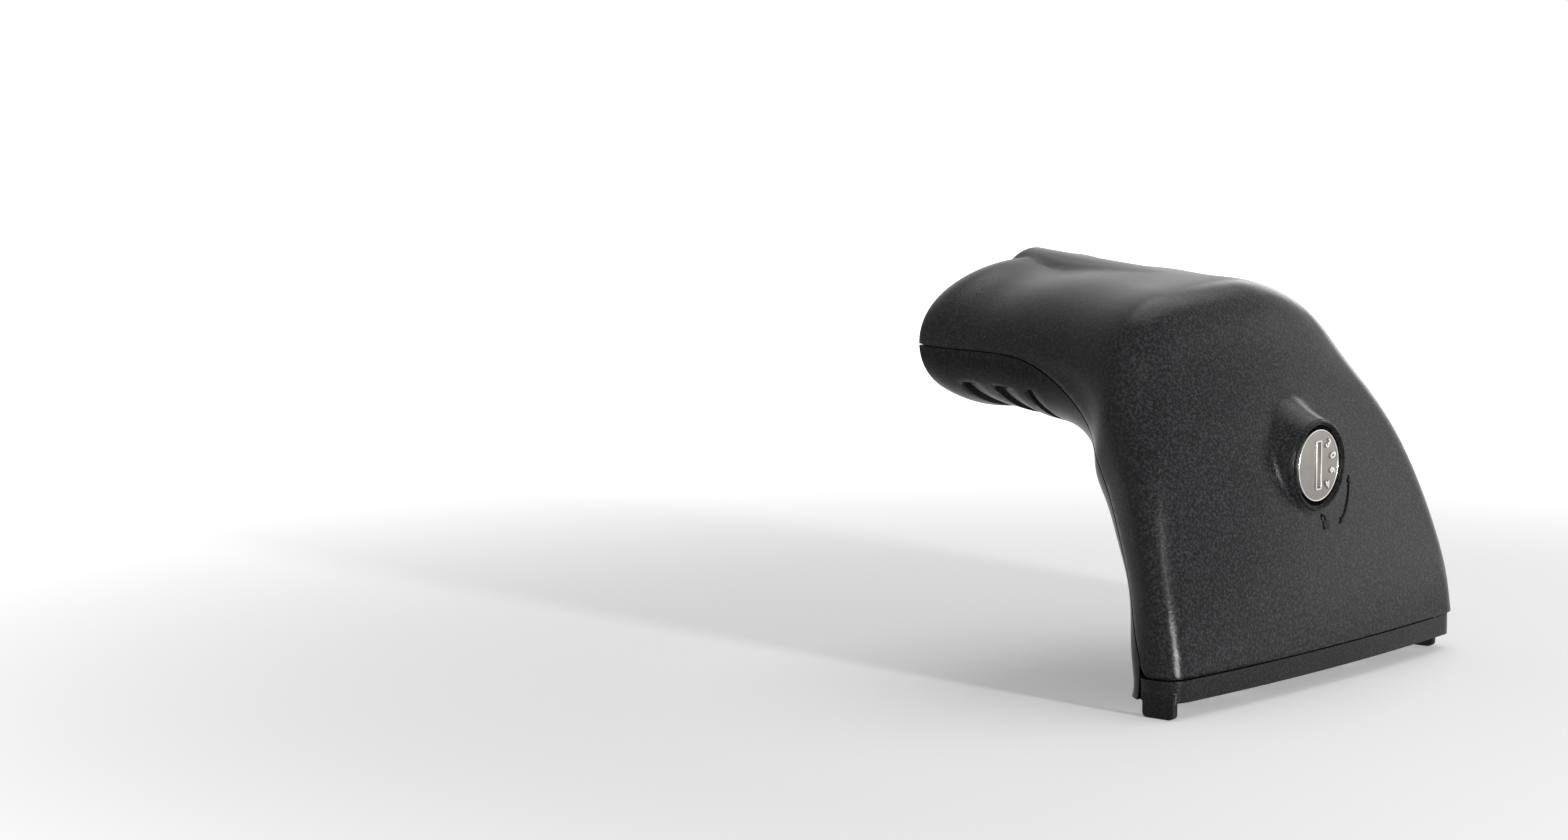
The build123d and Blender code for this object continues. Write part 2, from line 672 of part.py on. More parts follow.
wafer_x = [flange_back - wafer_first - i * wafer_pitch for i in range(wafer_count)]
with BuildPart() as lock_barrel:
    add(rod(plug_back, head_back, lock_y, lock_z, plug_radius))
    add(rod(head_back, lock_face_x, lock_y, lock_z, lock_head_radius))
    fillet(lock_barrel.faces().sort_by(Axis.X)[-1].edges(), edge_round)
    add(rod(plug_back - 1, plug_back + cam_screw_depth, lock_y, lock_z, cam_screw_radius + running_gap),
        mode=Mode.SUBTRACT)
    keyway_back = wafer_x[-1] - wafer_thickness
    for half_height, back in ((key_slot_height / 2, lock_face_x - key_recess),
                              (key_slot_height / 2 - key_recess, keyway_back)):
        add(block(back, far, lock_y - key_slot_width / 2, lock_y + key_slot_width / 2,
                  lock_z - half_height, lock_z + half_height), mode=Mode.SUBTRACT)
    for x in wafer_x:
        half = wafer_thickness / 2 + running_gap
        add(block(x - half, x + half, lock_y - wafer_half_width - running_gap,
                  lock_y + wafer_half_width + running_gap, lock_z - far, lock_z + far), mode=Mode.SUBTRACT)
lock_barrel.part.label = "lock_barrel"
export_step(lock_barrel.part, "parts/lock_barrel.step")

with BuildPart() as lock_wafers:
    for x in wafer_x:
        with BuildSketch(Plane.YZ.offset(x - wafer_thickness / 2)):
            with Locations((lock_y, lock_z)):
                Rectangle(2 * wafer_half_width, 2 * wafer_half_height)
                Rectangle(key_slot_width + wafer_slot_gap, key_slot_height - wafer_slot_drop,
                          mode=Mode.SUBTRACT)
        extrude(amount=wafer_thickness)
lock_wafers.part.label = "lock_wafers"
export_step(lock_wafers.part, "parts/lock_wafers.step")

cam_front = plug_back
with BuildPart() as lock_cam:
    with BuildSketch(Plane.YZ.offset(cam_front - cam_thickness)):
        with Locations((lock_y, lock_z)):
            Circle(cam_half_width + 1)
        with Locations((lock_y, lock_z + cam_length / 2)):
            Rectangle(2 * cam_half_width, cam_length)
    extrude(amount=cam_thickness)
    tip_edges = lock_cam.edges().filter_by(Axis.X).group_by(Axis.Z)[-1]
    fillet(tip_edges, cam_half_width * 0.6)
    add(rod(-far, far, lock_y, lock_z, cam_screw_radius + running_gap), mode=Mode.SUBTRACT)
lock_cam.part.label = "lock_cam"
export_step(lock_cam.part, "parts/lock_cam.step")

cam_back = cam_front - cam_thickness
with BuildPart() as cam_screw:
    add(rod(cam_back, plug_back + cam_screw_depth - cam_screw_end_gap, lock_y, lock_z, cam_screw_radius))
    add(rod(cam_back - small_head_height, cam_back, lock_y, lock_z, cam_screw_head))
    fillet(cam_screw.faces().sort_by(Axis.X)[0].edges(), edge_round)
cam_screw.part.label = "cam_screw"
export_step(cam_screw.part, "parts/cam_screw.step")

with BuildPart() as lock_clip:
    with BuildSketch(Plane.YZ.offset(-boss_depth - clip_thickness - running_gap)):
        with Locations((lock_y, lock_z)):
            Circle(clip_outer_radius)
            Circle(clip_groove_radius + running_gap, mode=Mode.SUBTRACT)
        with Locations((lock_y, lock_z - clip_outer_radius)):
            Rectangle(clip_groove_radius, 2 * clip_outer_radius - 8, mode=Mode.SUBTRACT)
    extrude(amount=clip_thickness)
lock_clip.part.label = "lock_clip"
export_step(lock_clip.part, "parts/lock_clip.step")

# Catch plate on the trailing cheek, behind which the cam turns, and its screws
with BuildPart() as catch_plate:
    plate_y = lock_y + housing_radius + catch_clearance
    add(block(catch_back, catch_front, plate_y, cheek_outer, lock_z - catch_half_height,
              lock_z + catch_half_height))
    corner_edges = catch_plate.edges().filter_by(Axis.X).group_by(Axis.Y)[0]
    fillet(corner_edges, catch_corner)
    for side in (-1, 1):
        add(rod(-far, far, cheek_mid, lock_z + side * catch_screw_z, small_screw_radius + slide_gap),
            mode=Mode.SUBTRACT)
catch_plate.part.label = "catch_plate"
export_step(catch_plate.part, "parts/catch_plate.step")


def small_screw(seat, direction, length):
    """Pan head screw with its head on the seat and its shank along the direction."""
    plane = Plane(origin=seat, z_dir=direction)
    with BuildPart() as screw:
        with BuildSketch(plane.offset(-small_head_height)):
            Circle(small_head_radius)
        extrude(amount=small_head_height)
        fillet(screw.faces().group_by(SortBy.AREA)[-1].sort_by(Axis(seat, direction))[0].edges(), edge_round)
        with BuildSketch(plane):
            Circle(small_screw_radius)
        extrude(amount=length)
    return screw.part


with BuildPart() as catch_screws:
    for side in (-1, 1):
        add(small_screw((catch_front, cheek_mid, lock_z + side * catch_screw_z), (-1, 0, 0),
                        small_screw_length))
catch_screws.part.label = "catch_screws"
export_step(catch_screws.part, "parts/catch_screws.step")

with BuildPart() as shell_screws:
    for side in (-1, 1):
        add(small_screw((head_seat_x, side * cheek_mid, shell_screw_z), (1, 0, 0), small_screw_length))
shell_screws.part.label = "shell_screws"
export_step(shell_screws.part, "parts/shell_screws.step")

with BuildPart() as shoe_screws:
    for side in (-1, 1):
        for y in shoe_screw_y:
            shank = floor_thickness + shoe_screw_length - screw_end_gap
            add(small_screw((0, side * y, pad_thickness), (0, 0, 1), shank))
shoe_screws.part.label = "shoe_screws"
export_step(shoe_screws.part, "parts/shoe_screws.step")
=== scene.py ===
import json
import math

import bmesh
import bpy
from mathutils import Matrix, Vector
from mathutils.bvhtree import BVHTree


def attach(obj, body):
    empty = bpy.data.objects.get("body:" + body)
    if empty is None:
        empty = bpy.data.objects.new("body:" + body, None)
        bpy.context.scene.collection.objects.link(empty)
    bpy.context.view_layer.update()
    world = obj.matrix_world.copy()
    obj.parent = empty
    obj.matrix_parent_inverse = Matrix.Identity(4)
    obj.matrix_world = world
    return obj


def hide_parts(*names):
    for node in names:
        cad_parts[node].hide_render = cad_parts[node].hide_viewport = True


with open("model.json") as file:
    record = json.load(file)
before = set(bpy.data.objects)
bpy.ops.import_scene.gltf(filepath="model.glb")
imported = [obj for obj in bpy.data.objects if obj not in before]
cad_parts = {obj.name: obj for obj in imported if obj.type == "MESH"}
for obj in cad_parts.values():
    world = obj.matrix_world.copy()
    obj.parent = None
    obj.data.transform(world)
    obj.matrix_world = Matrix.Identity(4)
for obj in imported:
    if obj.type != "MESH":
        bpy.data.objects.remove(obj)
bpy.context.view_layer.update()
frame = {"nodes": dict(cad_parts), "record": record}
nodes = frame["nodes"]
bodyOf = {
    node: body
    for body, names in frame["record"]["behaviour"]["bodies"].items()
    for node in names
}
slotOf = {part["node"]: part["material_slot"] for part in frame["record"]["subparts"]}
print("frame loaded")


# Shader groups

def newGroup(name, inputs, outputs):
    group = bpy.data.node_groups.new(name, "ShaderNodeTree")
    for label, kind, value in inputs:
        socket = group.interface.new_socket(label, in_out="INPUT", socket_type=kind)
        socket.default_value = value
    for label, kind in outputs:
        group.interface.new_socket(label, in_out="OUTPUT", socket_type=kind)
    start = group.nodes.new("NodeGroupInput")
    end = group.nodes.new("NodeGroupOutput")
    return group, start, end


def addNode(tree, kind, inputs=None, **settings):
    # a shader node with its settings and the values of its sockets
    node = tree.nodes.new(kind)
    for key, value in settings.items():
        setattr(node, key, value)
    for label, value in (inputs or {}).items():
        node.inputs[label].default_value = value
    return node


mouldLook = {
    "grain": {"Detail": 3.0, "Roughness": 0.6},
    "specks": {"From Min": 0.44, "From Max": 0.68},
    "clouds": {"Scale": 38.0, "Detail": 4.0},
    "shade": {"To Min": 0.86, "To Max": 1.14},
    "gloss": {"To Min": 0.19, "To Max": 0.26},
}


def mouldGrainGroup():
    # fine grain of a spark-eroded mould with pale specks, its shade and gloss a little cloudy
    group, start, end = newGroup(
        "mouldGrain",
        [("Grain Scale", "NodeSocketFloat", 1500.0),
         ("Dark", "NodeSocketColor", (0.02, 0.02, 0.021, 1)),
         ("Pale", "NodeSocketColor", (0.05, 0.05, 0.052, 1))],
        [("Color", "NodeSocketColor"), ("Height", "NodeSocketFloat"), ("Roughness", "NodeSocketFloat")],
    )
    link = group.links.new
    coords = addNode(group, "ShaderNodeTexCoord")
    grain = addNode(group, "ShaderNodeTexNoise", mouldLook["grain"])
    specks = addNode(group, "ShaderNodeMapRange", mouldLook["specks"])
    clouds = addNode(group, "ShaderNodeTexNoise", mouldLook["clouds"])
    shade = addNode(group, "ShaderNodeMapRange", mouldLook["shade"])
    tint = addNode(group, "ShaderNodeMix", data_type="RGBA")
    vary = addNode(group, "ShaderNodeVectorMath", operation="SCALE")
    gloss = addNode(group, "ShaderNodeMapRange", mouldLook["gloss"])
    link(coords.outputs["Object"], grain.inputs["Vector"])
    link(start.outputs["Grain Scale"], grain.inputs["Scale"])
    link(coords.outputs["Object"], clouds.inputs["Vector"])
    link(grain.outputs["Fac"], specks.inputs["Value"])
    link(specks.outputs["Result"], tint.inputs["Factor"])
    link(start.outputs["Dark"], tint.inputs["A"])
    link(start.outputs["Pale"], tint.inputs["B"])
    link(clouds.outputs["Fac"], shade.inputs["Value"])
    link(tint.outputs["Result"], vary.inputs[0])
    link(shade.outputs["Result"], vary.inputs["Scale"])
    link(vary.outputs["Vector"], end.inputs["Color"])
    link(grain.outputs["Fac"], end.inputs["Height"])
    link(clouds.outputs["Fac"], gloss.inputs["Value"])
    link(gloss.outputs["Result"], end.inputs["Roughness"])
    return group


metalLook = {
    "brush": {"Scale": 1.0, "Detail": 3.0},
    "stains": {"Scale": 220.0, "Detail": 5.0},
    "shade": {"To Min": 0.78, "To Max": 1.16},
}


def metalWearGroup():
    # fine brushing, longest where Brush is smallest, and cloudy handling stains
    group, start, end = newGroup(
        "metalWear",
        [("Brush", "NodeSocketVector", (60.0, 60.0, 4000.0)),
         ("Tone", "NodeSocketColor", (0.6, 0.6, 0.6, 1)),
         ("Low", "NodeSocketFloat", 0.22),
         ("High", "NodeSocketFloat", 0.40)],
        [("Color", "NodeSocketColor"), ("Height", "NodeSocketFloat"), ("Roughness", "NodeSocketFloat")],
    )
    link = group.links.new
    coords = addNode(group, "ShaderNodeTexCoord")
    stretch = addNode(group, "ShaderNodeVectorMath", operation="MULTIPLY")
    brush = addNode(group, "ShaderNodeTexNoise", metalLook["brush"])
    stains = addNode(group, "ShaderNodeTexNoise", metalLook["stains"])
    shade = addNode(group, "ShaderNodeMapRange", metalLook["shade"])
    vary = addNode(group, "ShaderNodeVectorMath", operation="SCALE")
    gloss = addNode(group, "ShaderNodeMapRange")
    link(coords.outputs["Object"], stretch.inputs[0])
    link(start.outputs["Brush"], stretch.inputs[1])
    link(stretch.outputs["Vector"], brush.inputs["Vector"])
    link(coords.outputs["Object"], stains.inputs["Vector"])
    link(stains.outputs["Fac"], shade.inputs["Value"])
    link(start.outputs["Tone"], vary.inputs[0])
    link(shade.outputs["Result"], vary.inputs["Scale"])
    link(vary.outputs["Vector"], end.inputs["Color"])
    link(brush.outputs["Fac"], end.inputs["Height"])
    link(stains.outputs["Fac"], gloss.inputs["Value"])
    link(start.outputs["Low"], gloss.inputs["To Min"])
    link(start.outputs["High"], gloss.inputs["To Max"])
    link(gloss.outputs["Result"], end.inputs["Roughness"])
    return group


mouldGrain = mouldGrainGroup()
metalWear = metalWearGroup()


# Materials, one for each finish

def finishMaterial(name, group, values, settings, bump, distance, edge=0.0004):
    # one of the groups above with its bump, edges rounded by the shader and constant sockets
    material = bpy.data.materials.new(name)
    material.use_nodes = True
    tree = material.node_tree
    shader = tree.nodes["Principled BSDF"]
    effect = addNode(tree, "ShaderNodeGroup", values, node_tree=group)
    relief = addNode(tree, "ShaderNodeBump", {"Strength": bump, "Distance": distance})
    rounded = addNode(tree, "ShaderNodeBevel", {"Radius": edge}, samples=4)
    for label, value in settings.items():
        shader.inputs[label].default_value = value
    tree.links.new(rounded.outputs["Normal"], relief.inputs["Normal"])
    tree.links.new(effect.outputs["Color"], shader.inputs["Base Color"])
    tree.links.new(effect.outputs["Roughness"], shader.inputs["Roughness"])
    tree.links.new(effect.outputs["Height"], relief.inputs["Height"])
    tree.links.new(relief.outputs["Normal"], shader.inputs["Normal"])
    return material


coverPlastic = finishMaterial(
    "coverPlastic", mouldGrain,
    {"Grain Scale": 1500.0, "Dark": (0.004, 0.004, 0.0045, 1), "Pale": (0.032, 0.032, 0.036, 1)},
    {"Specular IOR Level": 0.17}, bump=0.18, distance=0.0002, edge=0.0014,
)
shellPlastic = finishMaterial(
    "shellPlastic", mouldGrain,
    {"Grain Scale": 1400.0, "Dark": (0.005, 0.005, 0.0055, 1), "Pale": (0.026, 0.026, 0.029, 1)},
    {"Specular IOR Level": 0.11}, bump=0.20, distance=0.0002,
)
shoePlastic = finishMaterial(
    "shoePlastic", mouldGrain,
    {"Grain Scale": 1900.0, "Dark": (0.007, 0.007, 0.0075, 1), "Pale": (0.026, 0.026, 0.028, 1)},
    {"Specular IOR Level": 0.15}, bump=0.25, distance=0.0002,
)
padRubber = finishMaterial(
    "padRubber", mouldGrain,
    {"Grain Scale": 900.0, "Dark": (0.010, 0.010, 0.010, 1), "Pale": (0.020, 0.020, 0.020, 1)},
    {"Specular IOR Level": 0.2}, bump=0.5, distance=0.0003,
)
# near-black glossy plastic of the lock body; on the marks beside the lock the same dark tone is painted shade
# for their raised sides
lockBodyAndMarkShade = finishMaterial(
    "lockBodyAndMarkShade", mouldGrain,
    {"Grain Scale": 2600.0, "Dark": (0.0015, 0.0015, 0.0016, 1), "Pale": (0.004, 0.004, 0.0042, 1)},
    {"Specular IOR Level": 0.12}, bump=0.1, distance=0.0001,
)
lockNickel = finishMaterial(
    "lockNickel", metalWear,
    {"Brush": (60.0, 3500.0, 60.0), "Tone": (0.27, 0.255, 0.24, 1), "Low": 0.14, "High": 0.30},
    {"Metallic": 1.0}, bump=0.10, distance=0.0001, edge=0.0002,
)
# the face's nickel polished, with a far brighter tone than the satin face: painted highlight on the key
# slot's bead, the digits and the face's rim bead
lockPolishAndHighlight = finishMaterial(
    "lockPolishAndHighlight", metalWear,
    {"Brush": (900.0, 900.0, 900.0), "Tone": (0.74, 0.71, 0.68, 1), "Low": 0.07, "High": 0.15},
    {"Metallic": 1.0}, bump=0.05, distance=0.0001, edge=0.0001,
)
castAluminium = finishMaterial(
    "castAluminium", metalWear,
    {"Brush": (900.0, 900.0, 900.0), "Tone": (0.30, 0.30, 0.31, 1), "Low": 0.50, "High": 0.66},
    {"Metallic": 0.8}, bump=0.4, distance=0.0003,
)
zincSteel = finishMaterial(
    "zincSteel", metalWear,
    {"Brush": (300.0, 300.0, 2000.0), "Tone": (0.58, 0.58, 0.60, 1), "Low": 0.24, "High": 0.42},
    {"Metallic": 1.0}, bump=0.15, distance=0.0001,
)
waferBrass = finishMaterial(
    "waferBrass", metalWear,
    {"Brush": (2000.0, 200.0, 200.0), "Tone": (0.66, 0.50, 0.24, 1), "Low": 0.25, "High": 0.40},
    {"Metallic": 1.0}, bump=0.15, distance=0.0001,
)
looks = {
    "cover_plastic": coverPlastic, "shell_plastic": shellPlastic, "shoe_plastic": shoePlastic,
    "pad_rubber": padRubber, "casting_aluminium": castAluminium, "lock_metal": lockNickel,
    "lock_body": lockBodyAndMarkShade, "wafer_brass": waferBrass, "screw_steel": zincSteel,
}
print("materials made")


# The frame's own solids, merged and shaded smooth

weld = 1e-6
smoothing = {
    "moulded": {"cover": 30, "under_shell": 30, "base_shoe": 35, "roof_pad": 32, "bar_bumper": 32},
    "metal": 14, "flatness": 60,
}


def smoothCopy(name, angle):
    # a copy of a CAD node that stands for it, sharp where its faces meet at more than the angle
    mesh = nodes[name].data.copy()
    piece = bpy.data.objects.new(name + "Skin", mesh)
    bpy.context.scene.collection.objects.link(piece)
    shape = bmesh.new()
    shape.from_mesh(mesh)
    bmesh.ops.remove_doubles(shape, verts=shape.verts, dist=weld)
    shape.to_mesh(mesh)
    shape.free()
    mesh.shade_smooth()
    mesh.set_sharp_from_angle(angle=math.radians(angle))
    slotName = slotOf[name]
    mesh.materials.clear()
    mesh.materials.append(looks[slotName])
    flatten = piece.modifiers.new("flatFaces", "WEIGHTED_NORMAL")
    flatten.mode = "FACE_AREA_WITH_ANGLE"
    flatten.weight = smoothing["flatness"]
    flatten.keep_sharp = True
    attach(piece, bodyOf[name])
    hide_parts(name)
    return piece


skins = {name: smoothCopy(name, smoothing["moulded"].get(name, smoothing["metal"])) for name in nodes}
print("skins made", len(skins))


# Steps that the new pieces share

alongX = (1, 0, 0)
pieceSharp = 35


def newPiece(name, shape, material, body):
    # a finished bmesh becomes an object that rides on a body
    bmesh.ops.recalc_face_normals(shape, faces=shape.faces)
    mesh = bpy.data.meshes.new(name)
    shape.to_mesh(mesh)
    shape.free()
    mesh.shade_smooth()
    mesh.set_sharp_from_angle(angle=math.radians(pieceSharp))
    mesh.materials.append(material)
    piece = bpy.data.objects.new(name, mesh)
    bpy.context.scene.collection.objects.link(piece)
    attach(piece, body)


def spinRound(shape, geom, centre, degrees, steps):
    # turns a profile round an axis along X, and closes a full turn
    bmesh.ops.spin(shape, geom=geom, cent=centre, axis=alongX, angle=math.radians(degrees), steps=steps,
                   use_merge=degrees == 360, use_duplicate=False)


def bevelEdges(shape, edges, width, steps):
    bmesh.ops.bevel(shape, geom=edges, offset=width, offset_type="OFFSET", segments=steps, profile=0.5,
                    affect="EDGES", material=-1)


def surfaceOf(name):
    # the surface of a skin, for points that are laid on it
    return BVHTree.FromObject(skins[name], bpy.context.evaluated_depsgraph_get())


# Lock face

lockFace = {"x": 0.0048, "y": 0.001, "z": 0.0479}
faceCentre = (lockFace["x"], lockFace["y"], lockFace["z"])

keySlot = {
    "width": 0.0016, "height": 0.0110, "border": 0.0004, "proud": 0.0003, "round": 0.00012,
    "cornerSteps": 4, "rimSteps": 3, "rimAngle": 1.0, "wallShare": 0.98,
}


def slotFrame():
    # flat rectangular ring round the X axis with rounded corners
    border = keySlot["border"]
    depth = 2 * keySlot["proud"]
    size = (depth, keySlot["width"] + 2 * border, keySlot["height"] + 2 * border)
    shape = bmesh.new()
    bmesh.ops.create_cube(shape, size=1.0)
    bmesh.ops.scale(shape, vec=size, verts=shape.verts)
    corners = [e for e in shape.edges if abs(e.verts[0].co.x - e.verts[1].co.x) > depth / 2]
    bevelEdges(shape, corners, border, keySlot["cornerSteps"])
    caps = [f for f in shape.faces if abs(f.normal.x) > 0.9]
    bmesh.ops.inset_individual(shape, faces=caps, thickness=border * keySlot["wallShare"],
                               use_even_offset=True)
    bmesh.ops.delete(shape, geom=caps, context="FACES")
    rims = [e for e in shape.edges if e.is_boundary]
    bmesh.ops.bridge_loops(shape, edges=rims)
    bmesh.ops.recalc_face_normals(shape, faces=shape.faces)
    return shape


def keySlotBead():
    # raised outline round the key slot, its front rims rounded, bright as a painted highlight
    shape = slotFrame()
    rims = [e for e in shape.edges if e.verts[0].co.x > 0 and e.verts[1].co.x > 0
            and e.calc_face_angle(0) > keySlot["rimAngle"]]
    bevelEdges(shape, rims, keySlot["round"], keySlot["rimSteps"])
    bmesh.ops.translate(shape, vec=faceCentre, verts=shape.verts)
    newPiece("keySlotBead", shape, lockPolishAndHighlight, "lock_plug")


shutter = {"x": 0.0044, "thickness": 0.0003, "width": 0.0019, "height": 0.0104}


def keyShutter():
    # dust shutter that closes the slot behind the face
    shape = bmesh.new()
    bmesh.ops.create_cube(shape, size=1.0)
    bmesh.ops.scale(shape, vec=(shutter["thickness"], shutter["width"], shutter["height"]), verts=shape.verts)
    bmesh.ops.translate(shape, vec=(shutter["x"], lockFace["y"], lockFace["z"]), verts=shape.verts)
    newPiece("keyShutter", shape, lockNickel, "lock_plug")


digits = {
    "text": "3064", "size": 0.0030, "radius": 0.0060, "spread": 104, "proud": 0.0003, "edge": 0.00012,
    "curveSteps": 4,
}


def digitMesh(digit):
    # one digit as a mesh, in its own plane
    words = bpy.data.curves.new("digit", "FONT")
    words.body = digit
    words.size = digits["size"]
    words.align_x = "CENTER"
    words.align_y = "CENTER"
    words.resolution_u = digits["curveSteps"]
    words.extrude = digits["proud"]
    words.bevel_depth = digits["edge"]
    holder = bpy.data.objects.new("digit", words)
    mesh = bpy.data.meshes.new_from_object(holder)
    bpy.data.objects.remove(holder)
    bpy.data.curves.remove(words)
    return mesh


def lockDigits():
    # plain digits raised down the trailing side of the face, their feet towards its centre, bright as a
    # painted highlight
    shape = bmesh.new()
    upright = Matrix(((0, 0, 1, 0), (1, 0, 0, 0), (0, 1, 0, 0), (0, 0, 0, 1)))
    last = len(digits["text"]) - 1
    for i, digit in enumerate(digits["text"]):
        mesh = digitMesh(digit)
        angle = math.radians(digits["spread"] * (0.5 - i / last))
        place = Matrix.Translation((
            lockFace["x"],
            lockFace["y"] + digits["radius"] * math.cos(angle),
            lockFace["z"] + digits["radius"] * math.sin(angle),
        ))
        mesh.transform(place @ Matrix.Rotation(angle - math.radians(90), 4, "X") @ upright)
        shape.from_mesh(mesh)
        bpy.data.meshes.remove(mesh)
    bmesh.ops.remove_doubles(shape, verts=shape.verts, dist=weld)
    newPiece("lockDigits", shape, lockPolishAndHighlight, "lock_plug")


faceEdge = {"radius": 0.00836, "bead": 0.0002, "beadSteps": 14, "turnSteps": 96}


def lockEdge():
    # polished bead round the edge of the face, its bright tone a painted highlight along the rim
    shape = bmesh.new()
    ring = bmesh.ops.create_circle(shape, cap_ends=False, segments=faceEdge["beadSteps"],
                                   radius=faceEdge["bead"])["verts"]
    for axis in ("Y", "Z"):
        quarter = Matrix.Rotation(math.radians(90), 3, axis)
        bmesh.ops.rotate(shape, cent=(0, 0, 0), matrix=quarter, verts=ring)
    top = (lockFace["x"], lockFace["y"], lockFace["z"] + faceEdge["radius"])
    bmesh.ops.translate(shape, vec=top, verts=ring)
    spinRound(shape, shape.verts[:] + shape.edges[:], faceCentre, 360, faceEdge["turnSteps"])
    newPiece("lockEdge", shape, lockPolishAndHighlight, "lock_plug")


# Profile of the lip, as distance along X and radius round the lock's axis
lip = {
    "profile": (
        (0.0030, 0.0112), (0.0047, 0.01085), (0.0052, 0.01070), (0.0055, 0.01052), (0.0056, 0.01030),
        (0.0055, 0.01008), (0.0052, 0.00992), (0.0047, 0.00976), (0.0030, 0.00966),
    ),
    "turnSteps": 96,
}


def lockLip():
    # rounded lip of the cover, that stands out round the lock's face
    shape = bmesh.new()
    verts = [shape.verts.new((x, lockFace["y"], lockFace["z"] + radius)) for x, radius in lip["profile"]]
    edges = [shape.edges.new(pair) for pair in zip(verts, verts[1:])]
    spinRound(shape, verts + edges, faceCentre, 360, lip["turnSteps"])
    newPiece("lockLip", shape, shellPlastic, "cover")


keySlotBead()
keyShutter()
lockDigits()
lockEdge()
lockLip()
print("lock details made")


# Marks beside the lock, drawn flat in the plane of Y and Z and then laid on the cover

marks = {"proud": 0.00028, "sunk": 0.0002, "reach": 0.05}

# Angles round the lock's axis in degrees, and sizes of the heads as shares of their length
arrow = {
    "radius": 0.0176, "from": -19, "to": -54, "stroke": 0.0007, "steps": 16,
    "head": 0.0013, "headBack": 0.2, "headHalf": 0.62,
}

padlock = {
    "y": 0.0044, "z": 0.0334, "width": 0.0023, "height": 0.0021, "cells": 3, "lap": 0.0001,
    "bowRadius": 0.00075, "bowShift": -0.0007, "bowStroke": 0.00045, "bowTurn": 200, "bowSteps": 12,
    "leg": 0.0007,
}


def arcPoint(degrees, radius):
    angle = math.radians(degrees)
    return (0, lockFace["y"] + radius * math.cos(angle), lockFace["z"] + radius * math.sin(angle))


def addArrow(shape):
    # turning arrow round the lock with a head at each end
    half = arrow["stroke"] / 2
    ends = [shape.verts.new(arcPoint(arrow["from"], arrow["radius"] + side * half)) for side in (-1, 1)]
    start = shape.edges.new(ends)
    spinRound(shape, [start, *ends], faceCentre, arrow["to"] - arrow["from"], arrow["steps"])
    reach = math.degrees(arrow["head"] / arrow["radius"])
    half = arrow["head"] * arrow["headHalf"]
    for degrees, sense in ((arrow["from"], 1), (arrow["to"], -1)):
        tip = arcPoint(degrees + sense * reach, arrow["radius"])
        back = degrees - sense * reach * arrow["headBack"]
        sides = [arcPoint(back, arrow["radius"] + side * half) for side in (1, -1)]
        shape.faces.new([shape.verts.new(corner) for corner in (tip, *sides)])


def addPadlock(shape):
    # open padlock: its body, one leg and the bow
    body = bmesh.ops.create_grid(shape, x_segments=padlock["cells"], y_segments=padlock["cells"],
                                 size=0.5)["verts"]
    bmesh.ops.rotate(shape, cent=(0, 0, 0), matrix=Matrix.Rotation(math.radians(90), 3, "Y"), verts=body)
    bmesh.ops.scale(shape, vec=(1, padlock["width"], padlock["height"]), verts=body)
    bmesh.ops.translate(shape, vec=(0, padlock["y"], padlock["z"]), verts=body)
    low = padlock["z"] + padlock["height"] / 2 - padlock["lap"]
    bowY = padlock["y"] + padlock["bowShift"]
    bowZ = low + padlock["leg"]
    legY = bowY + padlock["bowRadius"]
    half = padlock["bowStroke"] / 2
    leg = ((0, legY - half, low), (0, legY + half, low), (0, legY + half, bowZ), (0, legY - half, bowZ))
    shape.faces.new([shape.verts.new(corner) for corner in leg])
    ends = [shape.verts.new((0, legY + side * half, bowZ)) for side in (-1, 1)]
    start = shape.edges.new(ends)
    spinRound(shape, [start, *ends], (0, bowY, bowZ), padlock["bowTurn"], padlock["bowSteps"])


def coverMarks():
    # the two marks, each face turned outwards before they get their thickness; their near-black tone is
    # painted shade for their raised sides
    shape = bmesh.new()
    addArrow(shape)
    addPadlock(shape)
    bmesh.ops.remove_doubles(shape, verts=shape.verts, dist=weld)
    surface = surfaceOf("cover")
    for vert in shape.verts:
        hit = surface.ray_cast(Vector((marks["reach"], vert.co.y, vert.co.z)), Vector((-1, 0, 0)))[0]
        vert.co.x = hit.x + marks["proud"]
    shape.normal_update()
    for face in shape.faces:
        if face.normal.x < 0:
            face.normal_flip()
    bmesh.ops.solidify(shape, geom=shape.faces[:], thickness=marks["proud"] + marks["sunk"])
    newPiece("coverMarks", shape, lockBodyAndMarkShade, "cover")


coverMarks()
print("marks made")


# Seam of the sleeve

seamShade = {
    "fromX": -0.0778, "toX": -0.0500, "steps": 28, "level": 0.0725, "reach": 0.1,
    "recess": 0.0008, "thickness": 0.0008, "sunk": 0.0001, "height": 0.00024,
}


def moveNew(shape, made, shift):
    # moves the vertices that an extrusion made
    verts = [v for v in made["geom"] if isinstance(v, bmesh.types.BMVert)]
    bmesh.ops.translate(shape, vec=shift, verts=verts)


